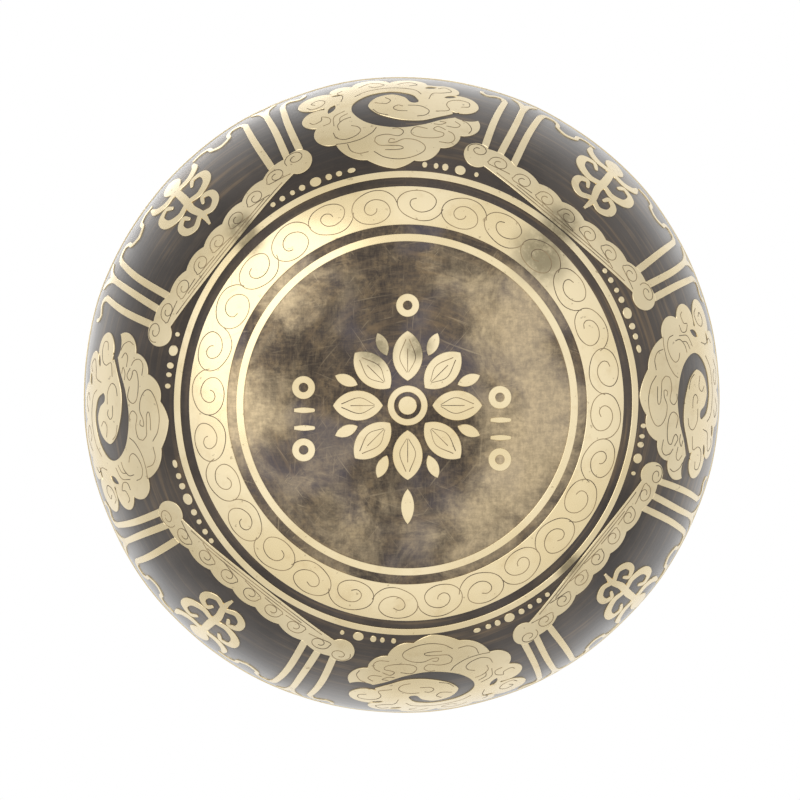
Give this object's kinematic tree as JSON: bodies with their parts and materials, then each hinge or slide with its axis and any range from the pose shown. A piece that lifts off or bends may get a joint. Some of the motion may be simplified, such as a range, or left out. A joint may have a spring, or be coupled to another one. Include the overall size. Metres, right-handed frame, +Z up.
{
  "type": "singing bowl",
  "caption": "Round-bottomed metal singing bowl with a dark etched outside and polished low relief of clouds, posts and rings.",
  "frame": {"origin": "middle of the face that the bowl stands on", "axes": "+Z up through the mouth, the axis of revolution; -Y front"},
  "size_m": [0.18, 0.18, 0.088],
  "materials": {
    "etched_ground": "dark patina, satin, with worn bronze patches",
    "relief_brass": "satin polished, lightly scratched",
    "rim_brass": "polished"
  },
  "bodies": {
    "root": {"base_mark_left": "relief_brass", "base_mark_right": "relief_brass", "base_ring_inner": "relief_brass", "base_ring_outer": "relief_brass", "base_rosette": "relief_brass", "belly_ring": "relief_brass", "bowl_body": "etched_ground", "bracket_back_left": "relief_brass", "bracket_back_right": "relief_brass", "bracket_front_left": "relief_brass", "bracket_front_right": "relief_brass", "cloud_back": "relief_brass", "cloud_front": "relief_brass", "cloud_left": "relief_brass", "cloud_right": "relief_brass", "curls_back_left_left": "relief_brass", "curls_back_left_right": "relief_brass", "curls_back_right_left": "relief_brass", "curls_back_right_right": "relief_brass", "curls_front_left_left": "relief_brass", "curls_front_left_right": "relief_brass", "curls_front_right_left": "relief_brass", "curls_front_right_right": "relief_brass", "dots_back_left_left": "relief_brass", "dots_back_left_right": "relief_brass", "dots_back_right_left": "relief_brass", "dots_back_right_right": "relief_brass", "dots_front_left_left": "relief_brass", "dots_front_left_right": "relief_brass", "dots_front_right_left": "relief_brass", "dots_front_right_right": "relief_brass", "posts_back_left_left": "relief_brass", "posts_back_left_right": "relief_brass", "posts_back_right_left": "relief_brass", "posts_back_right_right": "relief_brass", "posts_front_left_left": "relief_brass", "posts_front_left_right": "relief_brass", "posts_front_right_left": "relief_brass", "posts_front_right_right": "relief_brass", "rim_band": "rim_brass", "rim_lip": "rim_brass", "scroll_band": "relief_brass", "shoulder_band": "relief_brass", "shoulder_ring": "relief_brass", "sprig_back_left": "relief_brass", "sprig_back_right": "relief_brass", "sprig_front_left": "relief_brass", "sprig_front_right": "relief_brass"}
  },
  "joints": []
}
